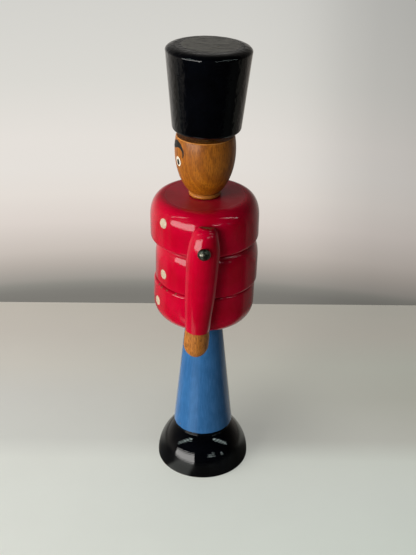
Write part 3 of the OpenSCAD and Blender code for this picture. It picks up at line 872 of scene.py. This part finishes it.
boardPaint = boardFinish()
(bx0, by0), (bx1, by1) = board["backEdge"]
(fx0, fy0), (fx1, fy1) = board["frontEdge"]
nearCorners = [(bx0, by0, 0), (fx0, fy0, 0), (fx1, fy1, 0), (bx1, by1, 0)]
farCorners = [(fx0, fy0, 0), (board["reach"], fy0, 0), (board["reach"], fy1, 0), (fx1, fy1, 0)]
stageMesh("boardNear", nearCorners, [(0, 1, 2, 3)], boardPaint)
boardFar = stageMesh("boardFar", farCorners, [(0, 1, 2, 3)], boardPaint)
boardFar.visible_glossy = False
boardFar.visible_shadow = False

shell = {"rows": 24, "steps": 48, "reach": 5.5, "top": 89.5}
rows, steps, reach = shell["rows"], shell["steps"], shell["reach"]
shellVerts = []
for i in range(rows + 1):
    e = math.radians(shell["top"] * (2 * i / rows - 1))
    for j in range(steps):
        a = 2 * math.pi * j / steps
        across = reach * math.cos(e)
        shellVerts.append((across * math.cos(a), across * math.sin(a), reach * math.sin(e)))
shellFaces = [
    (i * steps + j, i * steps + (j + 1) % steps, (i + 1) * steps + (j + 1) % steps, (i + 1) * steps + j)
    for i in range(rows) for j in range(steps)]
glossOnly = [stageMesh("surroundInGloss", shellVerts, shellFaces, surroundGlow())]
bars, dots = glow("thinBars", "#e6fbf6", stage["bars"]), glow("farBars", "#e9fbf7", stage["dots"])
for name, corners, light in (
        ("leftBar", [(0.75, -3.6, 1.5), (0.91, -3.6, 1.5), (0.91, -0.84, 1.5), (0.75, -0.84, 1.5)], bars),
        ("rightBar", [(0.75, 0.84, 1.5), (0.91, 0.84, 1.5), (0.91, 3.6, 1.5), (0.75, 3.6, 1.5)], bars),
        ("farBar", [(2.9, 0.78, 0.93), (2.9, 0.78, 0.955), (2.5, 1.7, 0.83), (2.5, 1.7, 0.805)], dots),
        ("farthestBar", [(1.95, 2.2, 0.6), (1.95, 2.2, 0.63), (1.74, 2.4, 0.61), (1.74, 2.4, 0.58)], dots)):
    glossOnly.append(stageMesh(name, corners, [(0, 1, 2, 3)], light))
for card in glossOnly:
    card.visible_camera = card.visible_diffuse = card.visible_transmission = card.visible_shadow = False


def tallLight(name, spec, hexColour):
    right, left = Vector((*spec["right"], 0)), Vector((*spec["left"], 0))
    data = bpy.data.lights.new(name, "AREA")
    data.shape = "RECTANGLE"
    data.size, data.size_y = (left - right).length, spec["high"] - spec["low"]
    data.energy = math.pi * data.size * data.size_y * spec["radiance"]
    data.color = linear(hexColour)[:3]
    lamp = bpy.data.objects.new(name, data)
    facing = (left - right).normalized().cross(Vector((0, 0, 1)))
    centre = (right + left) / 2 + Vector((0, 0, (spec["low"] + spec["high"]) / 2))
    if facing.dot(-centre) < 0:
        facing = -facing
    lamp.matrix_world = Matrix.Translation(centre) @ Matrix(
        (Vector((0, 0, 1)).cross(-facing), Vector((0, 0, 1)), -facing)).transposed().to_4x4()
    lamp.visible_camera = False
    bpy.context.scene.collection.objects.link(lamp)
    return lamp


tallLight("tallKeyLight", stage["tall"], "#fffdfa")
# the light behind adds to the light and stays out of the gloss
softLight = tallLight("softLightBehind", stage["soft"], "#fffdf8")
softLight.visible_glossy = False


def surround():
    world = bpy.data.worlds.new("paleSurround")
    world.use_nodes = True
    world.node_tree.nodes.clear()
    add = partial(addNode, world.node_tree)
    parts = add("SeparateXYZ", (add("TexCoord", out="Generated"),)).node.outputs
    # painted shade: the backdrop darkens in a band at its foot, just behind the board's edge, and this band
    # climbs a little to the left
    climb = add("MapRange", (parts["Y"], -0.2, 0.2, -0.0105, -0.0015))
    level = add("Math", (parts["Z"], climb), operation="ADD")
    backdrop = coloursAlong(add, level, -0.56, -0.16, (
        (-0.56, "#7d7a74"), (-0.5035, "#7c7a74"), (-0.498, "#807e78"), (-0.492, "#8c8a83"),
        (-0.487, "#9e9992"), (-0.474, "#b5ada5"), (-0.461, "#c8bfb7"), (-0.4345, "#dcd3cc"),
        (-0.408, "#e4ddd6"), (-0.383, "#e5e0da"), (-0.355, "#e5e0da"), (-0.299, "#dbd9d3"),
        (-0.217, "#d3d2cd")))
    # painted shade: the backdrop darkens toward the right, away from the light
    fade = coloursAlong(add, parts["Y"], -0.25, 0.25, (
        (-0.21, "#ffffff"), (-0.1, "#fefefe"), (0.03, "#fcfcfc"), (0.065, "#f9f9f9"),
        (0.086, "#f6f6f6"), (0.107, "#f0f0f0"), (0.138, "#e3e3e3"), (0.169, "#d9d9d9"),
        (0.208, "#d3d3d3")))
    colour = add("Mix", {0: 1, 6: backdrop, 7: fade}, 2, data_type="RGBA", blend_type="MULTIPLY")
    # soft light all round: more comes from behind and from the left than from the right and the front
    back = add("MapRange", (parts["X"], 0.4, -0.9, 0.15, 1.6), **eased)
    left = add("MapRange", (parts["Y"], 0.8, -0.8, 0.85, 1.3), **eased)
    soft = add("Math", (back, left), operation="MULTIPLY")
    soft = add("Math", (soft, stage["ambient"]), operation="MULTIPLY")
    # the camera, gloss and glass see the backdrop as it is, and the rest gets the soft light
    path = add("LightPath").node.outputs
    seen = add("Math", (path["Is Camera Ray"], path["Is Glossy Ray"]), operation="MAXIMUM")
    seen = add("Math", (seen, path["Is Transmission Ray"]), operation="MAXIMUM")
    fill = add("Background", (linear("#f4f3f0"), soft))
    add("OutputWorld", (add("MixShader", (seen, fill, add("Background", (colour, 1)))),))
    return world


scene = bpy.context.scene
scene.world = surround()
scene.view_settings.view_transform = "Standard"
print("stage, lights and camera made")
